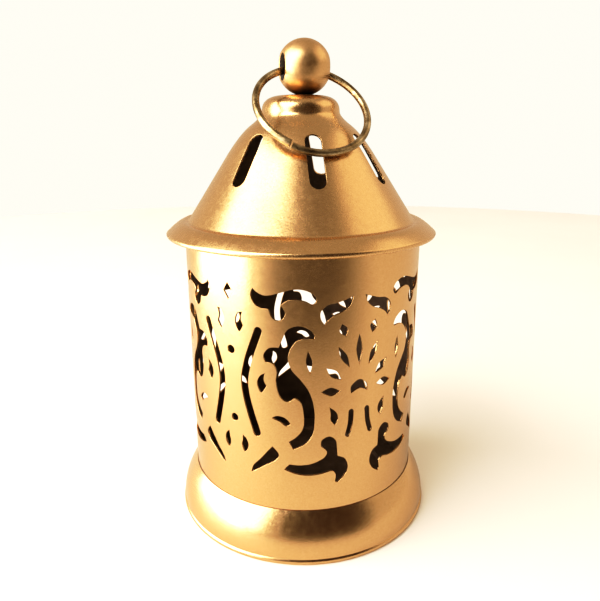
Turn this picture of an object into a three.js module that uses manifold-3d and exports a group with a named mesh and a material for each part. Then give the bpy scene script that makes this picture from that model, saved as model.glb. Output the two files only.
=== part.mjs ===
// A mini lantern of gold-painted sheet metal: a foot ring, a pierced and rolled wall with a candle floor,
// and a loose roof that carries a ball and a hanging ring. Lengths are in millimetres and angles in
// degrees. +Z is up, the table is at height 0, and the front faces -Y. An azimuth is counted from the
// front towards +X.

import * as THREE from 'three';
import { mergeVertices } from 'three/addons/utils/BufferGeometryUtils.js';
import Module from 'manifold-3d';

const wasm = await Module();
wasm.setup();

// Sheet and fits
const SHEET = 0.45;              // thickness of the rolled and pressed sheet
const SEAT_GAP = 0.05;           // between faces that rest on each other
const FIT_GAP = 0.15;            // on the radius, where one piece closely surrounds another
const ROOF_PLAY = 0.6;           // on the radius, between the roof's collar and the wall
const ROOF_SHIFT = -0.35;        // how far the loose roof sits off the wall's axis, along X

// Foot ring
const FOOT_HEIGHT = 10.8;
const FOOT_OVERHANG = 3.8;       // how far the lip on the table reaches past the wall
const FOOT_LIP_HEIGHT = 1.3;
const FOOT_LIP_DEPTH = 0.3;      // how far the groove above the lip goes in
const FOOT_FLANGE = 1.4;         // width of the flat flange under the foot
const FOOT_SHOULDER_HEIGHT = 5.5;

// Wall
const WALL_RADIUS = 26;
const WALL_SHOWN = 54.4;         // from the foot ring to the roof's rim
const WALL_FOOT_CLEARANCE = 2;   // how high the wall's lower edge is above the table
const SEAM_WIDTH = 0.4;
const SEAM_DEPTH = 0.2;

// Candle floor
const FLOOR_HEIGHT = 5.1;
const FLOOR_FLANGE = 2.6;        // how far its edge is turned down
const TEALIGHT_RADIUS = 19;
const CANDLE_SEAT_ROOM = 0.6;    // on the radius, round the tealight
const CANDLE_SEAT_DEPTH = 0.6;

// Roof
const RIM_OVERHANG = 3.6;        // how far the rim reaches past the wall
const RIM_CURL = 0.6;            // how far the rim's edge rolls under
const BRIM_HEIGHT = 2.95;        // from the rim's edge up to the crease
const BRIM_CROWN = 0.55;         // how far the brim's outline first aims above the crease
const BRIM_CROWN_REACH = 1.75;   // how far out from the crease it does so
const CREASE_INSET = 1.15;       // how far the crease lies inside the wall's radius
const CONE_HEIGHT = 18.2;        // from the crease up to the shoulder's corner, before it is rounded
const SHOULDER_RADIUS = 13.05;   // of that corner
const SHOULDER_BEND = 5.7;       // how far down the cone its rounding begins
const SHOULDER_RISE = 3.5;       // from that corner up to the corner under the dome
const NECK_BEND = 1;             // how far up the dome's side that corner's rounding reaches
const DOME_RADIUS = 8.3;
const DOME_RISE = 3.3;
const DOME_FLAT_RADIUS = 3.4;
const COLLAR_DEPTH = 5;          // how far the collar reaches into the wall

// Air slots in the roof's cone
const SLOT_COUNT = 7;
const SLOT_AZIMUTH = 10.4;
const SLOT_WIDTH = 3.5;
const SLOT_LENGTH = 12.2;
const SLOT_RISE = 16;            // from the crease up along the cone to a slot's middle

// Ball, screw and washer
const BALL_RADIUS = 5.65;
const BALL_SHIFT = 0.75;         // how far the ball sits off the roof's axis, along X
const BORE_RADIUS = 2.7;
const BORE_AZIMUTH = 15;
const SCREW_RADIUS = 1.25;
const SCREW_HEAD_RADIUS = 2.4;
const SCREW_HEAD_HEIGHT = 1.6;
const SCREW_TIP_CLEARANCE = 0.35; // between the screw's tip and the bore that the ring runs in
const DRIVER_SLOT = 0.7;
const WASHER_RADIUS = 3.2;
const WASHER_THICKNESS = 0.6;

// Hanging ring
const RING_RADIUS = 11.5;        // of the wire's centre line
const WIRE_RADIUS = 0.75;
const RING_TILT = 3.5;           // how far its right end hangs lower in the bore
const RING_GAP = 0.2;            // least clearance in the bore
const RING_REST_GAP = 0.2;       // between the resting ring and the cone
const SPLIT_ANGLE = 210;         // where the wire's ends meet, counted round from the ball
const SPLIT_GAP = 0.5;
const SPLIT_STEP = 0.5;          // how far the wire's ends miss each other sideways

// The pierced pattern repeats in equal panels, each mirrored about the axis of its sunburst. It is drawn
// flat for half a panel: a point is [distance from the axis, height above the sunburst's middle].
const PANELS = 3;
const PANEL_AZIMUTH = 25.8;      // of the front panel's sunburst
const SEAM_LAND = 2.86;          // plain strip beside the wall's seam
const LOWER_MARGIN = 6.1;        // from the foot ring up to the pattern
const UPPER_MARGIN = 6.4;        // from the pattern up to the roof's rim
const PATTERN_LEAN = 1.34;
const COLUMN_MARGIN = 1.35;      // from the outermost of the outlines to the half panel's edge
const CORNER = true;             // marks a point where an outline turns sharply

const TOP_SCROLL = [
  [21.0, 20.2, CORNER], [20.4, 19.5], [18.8, 18.8], [17.2, 19.0], [15.2, 19.6], [13.2, 20.15], [11.2, 20.1],
  [9.3, 19.3], [8.6, 18.1], [9.4, 17.1], [10.8, 17.75], [12.5, 18.1], [14.2, 17.9], [15.4, 17.0, CORNER],
  [14.65, 15.5], [15.2, 14.2], [16.4, 13.85], [17.5, 14.6], [18.0, 16.1, CORNER],
  [19.4, 16.15], [20.8, 16.9], [21.6, 18.7],
];
const TOP_LEAF = [
  [1.2, 18.5, CORNER], [2.5, 18.05], [4.5, 17.4], [6.5, 17.05], [7.9, 15.8], [7.95, 14.2],
  [7.2, 13.0, CORNER], [6.4, 14.0], [5.0, 14.9], [3.3, 15.5], [1.9, 16.7],
];
const GREAT_SCROLL = [
  [9.3, 10.3, CORNER], [11.0, 10.35], [12.7, 9.8], [14.0, 8.0], [14.4, 6.0], [13.7, 3.8], [12.1, 1.9],
  [10.6, -0.4], [9.7, -3.2], [9.45, -6.5], [9.9, -9.9], [11.4, -12.2], [14.0, -13.6, CORNER],
  [14.9, -11.8, CORNER], [13.2, -10.5], [12.0, -8.8], [11.7, -6.5], [12.1, -3.4], [13.25, -2.15, CORNER],
  [14.9, -2.95], [16.4, -1.9], [17.1, 1.0], [16.85, 3.4], [17.6, 5.0], [19.1, 5.25, CORNER],
  [19.45, 6.6], [18.2, 8.25], [16.2, 8.5, CORNER], [15.6, 10.0], [14.4, 12.2], [12.2, 13.0], [10.0, 12.2],
  [9.1, 10.95],
];
const LOWER_SCROLL = [
  [16.1, -18.2, CORNER], [14.9, -16.9, CORNER], [12.6, -17.05], [10.1, -16.65], [7.8, -15.5], [7.2, -14.2],
  [8.4, -12.9, CORNER], [8.2, -11.5], [6.6, -10.75], [5.2, -11.8], [4.95, -13.6], [4.85, -15.45, CORNER],
  [3.3, -16.3], [2.6, -18.3], [3.3, -20.3], [5.0, -21.7], [5.55, -21.3, CORNER], [5.4, -19.7], [6.3, -18.85],
  [8.4, -19.3], [11.2, -19.55], [13.9, -19.1],
];
const LOWER_LEAF = [
  [18.3, -13.1, CORNER], [17.3, -14.2], [17.0, -15.2], [18.0, -16.5], [20.3, -18.0], [23.4, -20.2, CORNER],
  [22.8, -18.3], [21.1, -16.4], [19.2, -14.1],
];
const KIDNEY = [
  [19.2, 2.9, CORNER], [20.4, 2.1], [21.05, 0.4], [20.2, -1.5], [18.95, 0.1, CORNER], [19.5, 1.4],
];
const SEED = [[18.2, -6.8], [17.0, -6.1], [15.4, -6.5], [14.4, -7.8], [15.4, -8.3], [16.7, -7.35]];
const UPPER_BUD = [
  [23.5, 15.0, CORNER], [24.7, 14.7], [25.4, 12.8], [24.45, 10.8], [23.45, 12.2, CORNER], [23.9, 13.6],
];
const LOWER_BUD = [
  [25.0, -11.7, CORNER], [24.0, -12.6], [23.7, -14.2], [24.65, -15.7], [25.35, -14.2], [25.1, -13.0],
];
const SUN_LEAF = [
  [6.5, -4.2, CORNER], [5.0, -5.6], [4.7, -7.2], [5.4, -8.5, CORNER], [6.3, -7.2], [6.3, -5.9],
];
const CRESCENT = [
  [1.9, -1.9, CORNER], [1.9, -0.3], [0, 0.95], [-1.9, -0.3], [-1.9, -1.9, CORNER], [0, -1.1],
];
// The shapes on the edge between two panels: their first coordinate is counted from that edge
const DIAMOND = [[-1.2, 18.8, CORNER], [0, 17.0, CORNER], [1.2, 18.8, CORNER], [0, 20.6, CORNER]];
const DOTS = [{ height: 6.7, radius: 0.95 }, { height: -8.2, radius: 0.9 }];
// Rays and slivers, pointed at both ends: two ends and a width
const SUN_RAY = { from: [0, 3.9], to: [0, 10.8], width: 1.5 };
const LENSES = [
  { from: [4.6, 8.6], to: [2.1, 3.7], width: 1.45 },
  { from: [7.1, 4.2], to: [3.8, 1.3], width: 1.7 },
  { from: [8.2, -0.9], to: [4.1, -1.0], width: 1.9 },
  { from: [3.8, 13.1], to: [2.95, 10.3], width: 1.9 },
  { from: [10.55, 8.1], to: [10.15, 2.9], width: 1.35 },
];
// Bent slots with round ends: three points of the middle line and a width
const LONG_BAR = { path: [[20.3, 11.5], [23.8, 0.5], [21.55, -10.5]], width: 1.75 };
const SHORT_BAR = { path: [[1.85, -5.9], [2.05, -8.5], [2.65, -10.9]], width: 1.25 };

// Fineness of the round surfaces
const TURN_STEPS = 48;
const PROFILE_STEPS = 3;
const LENS_STEPS = 2;
const BAR_STEPS = 3;
const SLOT_END_STEPS = 4;
const DOT_STEPS = 8;
const WIRE_SIDES = 8;
const WIRE_STEPS = 44;
const BALL_STEPS = 24;
const CUT_REACH = 2;             // how far a cutting solid runs past the sheet on each side

// Sizes that follow from the ones above
const rimRadius = WALL_RADIUS + RIM_OVERHANG;
const creaseRadius = WALL_RADIUS - CREASE_INSET;
const footRadius = WALL_RADIUS + FOOT_OVERHANG;
const seatRadius = TEALIGHT_RADIUS + CANDLE_SEAT_ROOM;
const rimHeight = FOOT_HEIGHT + WALL_SHOWN;
const creaseHeight = rimHeight + BRIM_HEIGHT;
const shoulderHeight = creaseHeight + CONE_HEIGHT;
const neckHeight = shoulderHeight + SHOULDER_RISE;
const domeSideHeight = neckHeight + NECK_BEND;
const domeTopHeight = domeSideHeight + DOME_RISE;
const coneSlope = (creaseRadius - SHOULDER_RADIUS) / CONE_HEIGHT;
const coneAngle = Math.atan(coneSlope);
const screwHoleRadius = SCREW_RADIUS + FIT_GAP;
const ballHeight = domeTopHeight + SEAT_GAP + Math.sqrt(BALL_RADIUS ** 2 - screwHoleRadius ** 2);

const radians = THREE.MathUtils.degToRad;
const point = (x, y) => new THREE.Vector2(x, y);

// Solids

function toSolid(geometry) {
  const bare = new THREE.BufferGeometry();
  bare.setAttribute('position', geometry.getAttribute('position'));
  bare.setIndex(geometry.getIndex());
  const merged = mergeVertices(bare, 1e-4);
  return new wasm.Manifold(new wasm.Mesh({
    numProp: 3,
    vertProperties: new Float32Array(merged.getAttribute('position').array),
    triVerts: new Uint32Array(merged.getIndex().array),
  }));
}

function toGeometry(solid) {
  const mesh = solid.getMesh();
  const geometry = new THREE.BufferGeometry();
  geometry.setAttribute('position', new THREE.BufferAttribute(mesh.vertProperties, 3));
  geometry.setIndex(new THREE.BufferAttribute(mesh.triVerts, 1));
  geometry.computeVertexNormals();
  return geometry;
}

// A closed profile of [radius, height] points, counter-clockwise, turned about the vertical axis
function turned(profile, steps = TURN_STEPS) {
  const closed = [...profile, profile[0]].map((p) => point(p.x, p.y));
  const geometry = new THREE.LatheGeometry(closed, steps);
  geometry.rotateX(Math.PI / 2);
  return toSolid(geometry);
}

function prism(points, depth) {
  return new THREE.ExtrudeGeometry(new THREE.Shape(points), { depth, bevelEnabled: false });
}

// The given points moved by the sheet's thickness to the right of the way they run
function sheetInside(points) {
  return points.map((p, i) => {
    const before = points[Math.max(i - 1, 0)];
    const after = points[Math.min(i + 1, points.length - 1)];
    const arriving = (i > 0 ? p.clone().sub(before) : after.clone().sub(p)).normalize();
    const leaving = (i < points.length - 1 ? after.clone().sub(p) : arriving.clone()).normalize();
    const middle = arriving.clone().add(leaving).normalize();
    const reach = SHEET / Math.max(middle.dot(arriving), 0.5);
    return point(p.x + middle.y * reach, p.y - middle.x * reach);
  });
}

// Pressed and rolled profiles

function roofOutside() {
  const path = new THREE.Path();
  path.moveTo(DOME_FLAT_RADIUS, domeTopHeight);
  path.quadraticCurveTo(DOME_RADIUS, domeTopHeight, DOME_RADIUS, domeSideHeight);
  path.quadraticCurveTo(
    DOME_RADIUS, neckHeight, (DOME_RADIUS + SHOULDER_RADIUS) / 2, (neckHeight + shoulderHeight) / 2,
  );
  path.quadraticCurveTo(
    SHOULDER_RADIUS, shoulderHeight,
    SHOULDER_RADIUS + SHOULDER_BEND * Math.sin(coneAngle),
    shoulderHeight - SHOULDER_BEND * Math.cos(coneAngle),
  );
  path.lineTo(creaseRadius, creaseHeight);
  path.quadraticCurveTo(
    creaseRadius + BRIM_CROWN_REACH, creaseHeight + BRIM_CROWN, rimRadius, rimHeight + RIM_CURL,
  );
  path.quadraticCurveTo(rimRadius, rimHeight, rimRadius - RIM_CURL, rimHeight);
  return path.getPoints(PROFILE_STEPS);
}

// Height of the roof's underside over a circle of the given radius, within the brim
function roofUnderside(radius) {
  const inside = sheetInside(roofOutside());
  const i = inside.findIndex((p) => p.x >= radius);
  const share = (radius - inside[i - 1].x) / (inside[i].x - inside[i - 1].x);
  return inside[i - 1].y + share * (inside[i].y - inside[i - 1].y);
}

function footOutside() {
  const neckRadius = WALL_RADIUS + FIT_GAP + SHEET;
  const grooveRadius = footRadius - FOOT_LIP_DEPTH;
  const path = new THREE.Path();
  path.moveTo(neckRadius, FOOT_HEIGHT);
  path.quadraticCurveTo(footRadius, FOOT_SHOULDER_HEIGHT, grooveRadius, FOOT_LIP_HEIGHT);
  path.quadraticCurveTo(footRadius + FOOT_LIP_DEPTH, FOOT_LIP_HEIGHT / 2, grooveRadius, 0);
  path.lineTo(footRadius - FOOT_FLANGE, 0);
  return path.getPoints(PROFILE_STEPS);
}

// Flat outlines for the cut-outs

// The points of one smooth stretch, without its last
function smoothPoints(points, steps) {
  if (points.length < 3) return [points[0]];
  return new THREE.SplineCurve(points).getPoints(steps * (points.length - 1)).slice(0, -1);
}

// A closed outline whose marked points are corners, and whose other points lie on smooth curves
function outlinePoints(outline, steps = 1) {
  const first = Math.max(outline.findIndex((p) => p[2] === CORNER), 0);
  const turnedRound = [...outline.slice(first), ...outline.slice(0, first + 1)];
  const points = [];
  let stretch = [];
  turnedRound.forEach(([x, y, corner], i) => {
    stretch.push(point(x, y));
    if ((corner && i > 0) || i === turnedRound.length - 1) {
      points.push(...smoothPoints(stretch, steps));
      stretch = [point(x, y)];
    }
  });
  return points;
}

function lensPoints({ from, to, width }) {
  const start = point(...from);
  const end = point(...to);
  const middle = start.clone().lerp(end, 0.5);
  const along = end.clone().sub(start).normalize();
  const across = point(-along.y, along.x).multiplyScalar(width / 2);
  return [
    ...smoothPoints([start, middle.clone().add(across), end], LENS_STEPS),
    ...smoothPoints([end, middle.clone().sub(across), start], LENS_STEPS),
  ];
}

function barPoints({ path, width }, steps) {
  const curve = new THREE.SplineCurve(path.map(([x, y]) => point(x, y)));
  const right = [];
  const left = [];
  for (let i = 0; i <= steps; i += 1) {
    const middle = curve.getPoint(i / steps);
    const along = curve.getTangent(i / steps);
    right.push(point(middle.x + along.y * width / 2, middle.y - along.x * width / 2));
    left.unshift(point(middle.x - along.y * width / 2, middle.y + along.x * width / 2));
  }
  return [...right, ...roundEnd(right.at(-1), left[0]), ...left, ...roundEnd(left.at(-1), right[0])];
}

// The inner points of a half circle that turns left from one point to the other
function roundEnd(from, to) {
  const centre = from.clone().lerp(to, 0.5);
  const points = [];
  for (let i = 1; i < SLOT_END_STEPS; i += 1) {
    points.push(from.clone().rotateAround(centre, Math.PI * i / SLOT_END_STEPS));
  }
  return points;
}

function circlePoints(x, y, radius, steps) {
  const points = [];
  for (let i = 0; i < steps; i += 1) {
    const angle = 2 * Math.PI * i / steps;
    points.push(point(x + radius * Math.cos(angle), y + radius * Math.sin(angle)));
  }
  return points;
}

function halfPanelOutlines() {
  const outlines = [
    TOP_SCROLL, TOP_LEAF, GREAT_SCROLL, LOWER_SCROLL, LOWER_LEAF,
    KIDNEY, SEED, UPPER_BUD, LOWER_BUD, SUN_LEAF,
  ].map((outline) => outlinePoints(outline));
  return [
    ...outlines,
    ...LENSES.map(lensPoints),
    barPoints(LONG_BAR, 2 * BAR_STEPS),
    barPoints(SHORT_BAR, BAR_STEPS),
  ];
}

// All cut-outs of the unrolled wall, as flat outlines in [arc length from the front, height]
function wallOutlines() {
  const panelWidth = (2 * Math.PI * WALL_RADIUS - SEAM_LAND) / PANELS;
  const drawnWidth = Math.max(...UPPER_BUD.map((p) => p[0])) + COLUMN_MARGIN;
  const widthScale = panelWidth / 2 / drawnWidth;
  const drawnTop = Math.max(...TOP_SCROLL.map((p) => p[1]));
  const drawnBottom = Math.min(...LOWER_SCROLL.map((p) => p[1]));
  const heightScale = (WALL_SHOWN - LOWER_MARGIN - UPPER_MARGIN) / (drawnTop - drawnBottom);
  const middleHeight = FOOT_HEIGHT + LOWER_MARGIN - drawnBottom * heightScale;
  const lean = Math.tan(radians(PATTERN_LEAN));
  const place = (outline, axis, side) => outline.map((p) => {
    const rise = p.y * heightScale;
    return point(axis + side * p.x * widthScale - rise * lean, middleHeight + rise);
  });
  const placed = [];
  for (let panel = 0; panel < PANELS; panel += 1) {
    const axis = radians(PANEL_AZIMUTH) * WALL_RADIUS + (panel - (PANELS - 1) / 2) * panelWidth;
    for (const side of [1, -1]) {
      placed.push(...halfPanelOutlines().map((outline) => place(outline, axis, side)));
    }
    placed.push(place(lensPoints(SUN_RAY), axis, 1));
    placed.push(place(outlinePoints(CRESCENT), axis, 1));
    // The column between two panels is left plain where the wall's seam takes its place
    if (panel < PANELS - 1) {
      const edge = axis + panelWidth / 2;
      placed.push(place(outlinePoints(DIAMOND), edge, 1));
      for (const { height, radius } of DOTS) {
        placed.push(place(circlePoints(0, height, radius, DOT_STEPS), edge, 1));
      }
    }
  }
  return placed;
}

// Pieces

// A straight cutter, square to the wall at the middle of its outline
function wallCutter(outline) {
  const arcs = outline.map((p) => p.x);
  const azimuth = (Math.min(...arcs) + Math.max(...arcs)) / 2 / WALL_RADIUS;
  const facing = outline.map((p) => point(WALL_RADIUS * Math.sin(p.x / WALL_RADIUS - azimuth), p.y));
  const geometry = prism(facing, SHEET + 2 * CUT_REACH);
  geometry.rotateX(Math.PI / 2);
  geometry.translate(0, -(WALL_RADIUS - SHEET - CUT_REACH), 0);
  geometry.rotateZ(azimuth);
  return toSolid(geometry);
}

function piercedWall() {
  const top = roofUnderside(WALL_RADIUS + Math.abs(ROOF_SHIFT)) - SEAT_GAP;
  let wall = turned([
    point(WALL_RADIUS - SHEET, WALL_FOOT_CLEARANCE), point(WALL_RADIUS, WALL_FOOT_CLEARANCE),
    point(WALL_RADIUS, top), point(WALL_RADIUS - SHEET, top),
  ]);
  for (const outline of wallOutlines()) {
    wall = wall.subtract(wallCutter(outline));
  }
  const seam = new THREE.BoxGeometry(SEAM_WIDTH, 2 * SEAM_DEPTH, 2 * top);
  seam.translate(0, WALL_RADIUS, 0);
  seam.rotateZ(radians(PANEL_AZIMUTH));
  return wall.subtract(toSolid(seam));
}

function candleFloor() {
  const edge = WALL_RADIUS - SHEET - FIT_GAP;
  const seatTop = FLOOR_HEIGHT - CANDLE_SEAT_DEPTH;
  const top = [
    point(edge, FLOOR_HEIGHT - FLOOR_FLANGE), point(edge, FLOOR_HEIGHT),
    point(seatRadius + CANDLE_SEAT_DEPTH, FLOOR_HEIGHT), point(seatRadius, seatTop),
  ];
  return turned([
    point(0, seatTop - SHEET), point(seatRadius + SHEET / 2, seatTop - SHEET),
    point(seatRadius + CANDLE_SEAT_DEPTH + SHEET / 2, FLOOR_HEIGHT - SHEET),
    point(edge - SHEET, FLOOR_HEIGHT - SHEET), point(edge - SHEET, FLOOR_HEIGHT - FLOOR_FLANGE),
    ...top, point(0, seatTop),
  ]);
}

function footRing() {
  const outside = footOutside();
  return turned([...sheetInside(outside), ...outside.reverse()]);
}

function roof() {
  const outside = roofOutside();
  let shell = turned([
    point(0, domeTopHeight - SHEET), ...sheetInside(outside), ...outside.reverse(), point(0, domeTopHeight),
  ]);
  for (let i = 0; i < SLOT_COUNT; i += 1) {
    shell = shell.subtract(airSlot(radians(SLOT_AZIMUTH) + 2 * Math.PI * i / SLOT_COUNT));
  }
  const hole = new THREE.CylinderGeometry(screwHoleRadius, screwHoleRadius, 2 * DOME_RISE, BALL_STEPS);
  hole.rotateX(Math.PI / 2);
  hole.translate(BALL_SHIFT, 0, domeTopHeight);
  return shell.subtract(toSolid(hole));
}

// A round-ended slot, set square to the cone at the given azimuth
function airSlot(azimuth) {
  const half = (SLOT_LENGTH - SLOT_WIDTH) / 2;
  const outline = barPoints({ path: [[0, -half], [0, 0], [0, half]], width: SLOT_WIDTH }, 1);
  const geometry = prism(outline, 2 * CUT_REACH);
  geometry.translate(0, 0, -CUT_REACH);
  geometry.rotateX(Math.PI / 2 - coneAngle);
  geometry.translate(
    0, -(creaseRadius - SLOT_RISE * Math.sin(coneAngle)), creaseHeight + SLOT_RISE * Math.cos(coneAngle),
  );
  geometry.rotateZ(azimuth);
  return toSolid(geometry);
}

function roofCollar() {
  const outer = WALL_RADIUS - SHEET - ROOF_PLAY;
  const top = roofUnderside(outer) - SEAT_GAP;
  const bottom = roofUnderside(WALL_RADIUS) - COLLAR_DEPTH;
  return turned([
    point(outer - SHEET, bottom), point(outer, bottom), point(outer, top), point(outer - SHEET, top),
  ]);
}

function ball() {
  const sphere = new THREE.SphereGeometry(BALL_RADIUS, BALL_STEPS, BALL_STEPS / 2);
  sphere.rotateX(Math.PI / 2);
  const bore = new THREE.CylinderGeometry(BORE_RADIUS, BORE_RADIUS, 3 * BALL_RADIUS, BALL_STEPS);
  bore.rotateZ(Math.PI / 2);
  bore.rotateZ(radians(BORE_AZIMUTH));
  const screwHole = new THREE.CylinderGeometry(screwHoleRadius, screwHoleRadius, BALL_RADIUS, BALL_STEPS / 2);
  screwHole.rotateX(Math.PI / 2);
  screwHole.translate(0, 0, -BALL_RADIUS);
  return toSolid(sphere).subtract(toSolid(bore)).subtract(toSolid(screwHole));
}

function washer() {
  return turned([
    point(screwHoleRadius, 0), point(WASHER_RADIUS, 0),
    point(WASHER_RADIUS, WASHER_THICKNESS), point(screwHoleRadius, WASHER_THICKNESS),
  ], BALL_STEPS);
}

// The screw stands upright, with its head's seat at height 0
function screw(length) {
  const chamfer = 0.3;
  const body = turned([
    point(0, -SCREW_HEAD_HEIGHT), point(SCREW_HEAD_RADIUS - chamfer, -SCREW_HEAD_HEIGHT),
    point(SCREW_HEAD_RADIUS, -SCREW_HEAD_HEIGHT + chamfer), point(SCREW_HEAD_RADIUS, 0),
    point(SCREW_RADIUS, 0), point(SCREW_RADIUS, length - chamfer),
    point(SCREW_RADIUS - chamfer, length), point(0, length),
  ], BALL_STEPS / 2);
  const slot = new THREE.BoxGeometry(3 * SCREW_HEAD_RADIUS, DRIVER_SLOT, SCREW_HEAD_HEIGHT);
  slot.translate(0, 0, -SCREW_HEAD_HEIGHT);
  return body.subtract(toSolid(slot));
}

// The wire's centre line: a circle through the origin, in front of it, whose two ends miss each other
class WireLine extends THREE.Curve {
  getPoint(share) {
    const opening = SPLIT_GAP / RING_RADIUS;
    const angle = radians(SPLIT_ANGLE) + opening / 2 + share * (2 * Math.PI - opening);
    return new THREE.Vector3(
      RING_RADIUS * Math.sin(angle), RING_RADIUS * (Math.cos(angle) - 1), SPLIT_STEP * (0.5 - share),
    );
  }
}

function hangingRing() {
  const section = new THREE.Shape(circlePoints(0, 0, WIRE_RADIUS, WIRE_SIDES));
  return toSolid(new THREE.ExtrudeGeometry(section, { extrudePath: new WireLine(), steps: WIRE_STEPS }));
}

// How far the ring drops in the bore before its wire comes near the lower edge of the bore's mouth
function ringDrop(swing) {
  const halfBore = Math.sqrt(BALL_RADIUS ** 2 - BORE_RADIUS ** 2);
  const bow = RING_RADIUS - Math.sqrt(RING_RADIUS ** 2 - halfBore ** 2);
  const room = BORE_RADIUS - WIRE_RADIUS - RING_GAP;
  const level = Math.sqrt(room ** 2 - (bow * Math.cos(swing)) ** 2);
  return level - bow * Math.sin(swing) - halfBore * Math.sin(radians(RING_TILT));
}

// How far below level the ring swings until its far side rests on the cone
function ringSwing() {
  const stretch = Math.hypot(1, coneSlope);
  const coneReach = creaseRadius + coneSlope * creaseHeight;
  const clear = (WIRE_RADIUS + SPLIT_STEP / 2 + RING_REST_GAP) * stretch;
  const lead = BALL_SHIFT * Math.sin(radians(BORE_AZIMUTH));
  let swing = Math.PI / 4;
  for (let i = 0; i < 20; i += 1) {
    const hingeHeight = ballHeight - ringDrop(swing);
    const share = (coneReach + clear - lead - coneSlope * hingeHeight) / (2 * RING_RADIUS * stretch);
    swing = Math.acos(share) - coneAngle;
  }
  return swing;
}

// Assembly

const PAINT = { color: 0xb8874a, metalness: 0.75, roughness: 0.42 };
const DARK_PAINT = { color: 0x6a4526, metalness: 0.6, roughness: 0.6 };
const BRASS = { color: 0x8f6a35, metalness: 0.9, roughness: 0.35 };
const STEEL = { color: 0x9a9a98, metalness: 0.9, roughness: 0.4 };

function piece(name, solid, look) {
  const mesh = new THREE.Mesh(toGeometry(solid), new THREE.MeshStandardMaterial(look));
  mesh.name = name;
  return mesh;
}

const lantern = new THREE.Group();
lantern.add(piece('base_skirt', footRing(), PAINT));
lantern.add(piece('candle_floor', candleFloor(), DARK_PAINT));
lantern.add(piece('pierced_wall', piercedWall(), PAINT));

const lid = new THREE.Group();
lid.position.x = ROOF_SHIFT;
lid.add(piece('roof', roof(), PAINT));
lid.add(piece('roof_collar', roofCollar(), DARK_PAINT));

const finial = new THREE.Group();
finial.position.x = BALL_SHIFT;
const finialBall = piece('finial_ball', ball(), PAINT);
finialBall.position.z = ballHeight;
const washerHeight = domeTopHeight - SHEET - SEAT_GAP - WASHER_THICKNESS;
const finialWasher = piece('finial_washer', washer(), STEEL);
finialWasher.position.z = washerHeight;
const screwSeat = washerHeight - SEAT_GAP;
const screwTip = ballHeight - BORE_RADIUS - SCREW_TIP_CLEARANCE;
const finialScrew = piece('finial_screw', screw(screwTip - screwSeat), STEEL);
finialScrew.position.z = screwSeat;
finial.add(finialBall, finialWasher, finialScrew);

const ring = piece('hanging_ring', hangingRing(), BRASS);
const swing = ringSwing();
ring.position.z = ballHeight - ringDrop(swing);
ring.rotation.set(swing, radians(RING_TILT), radians(BORE_AZIMUTH), 'ZYX');
finial.add(ring);
lid.add(finial);
lantern.add(lid);

export default lantern;
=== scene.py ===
# The looks of the mini lantern: fine sheet-metal meshes, painted and brass materials, a pale studio and
# the photograph's camera. The lantern's sizes are in millimetres until MM turns them into metres, and the
# studio's are in metres. An azimuth is counted from the front (-Y) towards +X.

import math

import bpy
import numpy as np
from mathutils import Matrix, Vector
from mathutils.geometry import delaunay_2d_cdt


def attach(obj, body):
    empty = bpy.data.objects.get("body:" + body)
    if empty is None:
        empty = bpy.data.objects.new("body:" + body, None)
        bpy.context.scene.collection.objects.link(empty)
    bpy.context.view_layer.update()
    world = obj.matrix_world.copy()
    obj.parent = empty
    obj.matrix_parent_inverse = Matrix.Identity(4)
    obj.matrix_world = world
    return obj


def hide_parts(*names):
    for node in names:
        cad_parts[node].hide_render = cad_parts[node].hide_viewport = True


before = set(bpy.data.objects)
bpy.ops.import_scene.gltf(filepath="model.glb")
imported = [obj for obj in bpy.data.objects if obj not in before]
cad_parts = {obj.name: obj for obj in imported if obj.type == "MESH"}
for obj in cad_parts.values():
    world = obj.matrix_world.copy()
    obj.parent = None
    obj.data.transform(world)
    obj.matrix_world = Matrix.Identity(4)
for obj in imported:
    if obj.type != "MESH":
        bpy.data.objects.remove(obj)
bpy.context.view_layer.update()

MM = 0.001

# Sizes that the CAD model gives
SHEET = 0.45
FOOT_HEIGHT = 10.8
FOOT_RADIUS = 29.8
WALL_RADIUS = 26.0
WALL_BOTTOM = 2.0
WALL_TOP = 67.45
RIM_HEIGHT = 65.2
RIM_RADIUS = 29.6
RIM_CURL = 0.6
CREASE = np.array([24.85, 68.15])
BRIM_CROWN = np.array([1.75, 0.55])
SHOULDER = np.array([13.05, 86.35])
SHOULDER_BEND = 5.7
NECK = np.array([8.3, 89.85])
NECK_BEND = 1.0
DOME_TOP_HEIGHT = 94.15
DOME_FLAT_RADIUS = 3.4
SCREW_HOLE_RADIUS = 1.4
ROOF_SHIFT = -0.35
BALL_RADIUS = 5.65
BALL_X = 0.4
BALL_HEIGHT = 99.67
BORE_RADIUS = 2.7
BORE_AZIMUTH = 15.0
RING_RADIUS = 11.5
WIRE_RADIUS = 0.75
RING_HEIGHT = 99.21
RING_SWING = 44.51
RING_TILT = 3.5
SPLIT_ANGLE = 210.0
SPLIT_GAP = 0.5
SPLIT_STEP = 0.5

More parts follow.
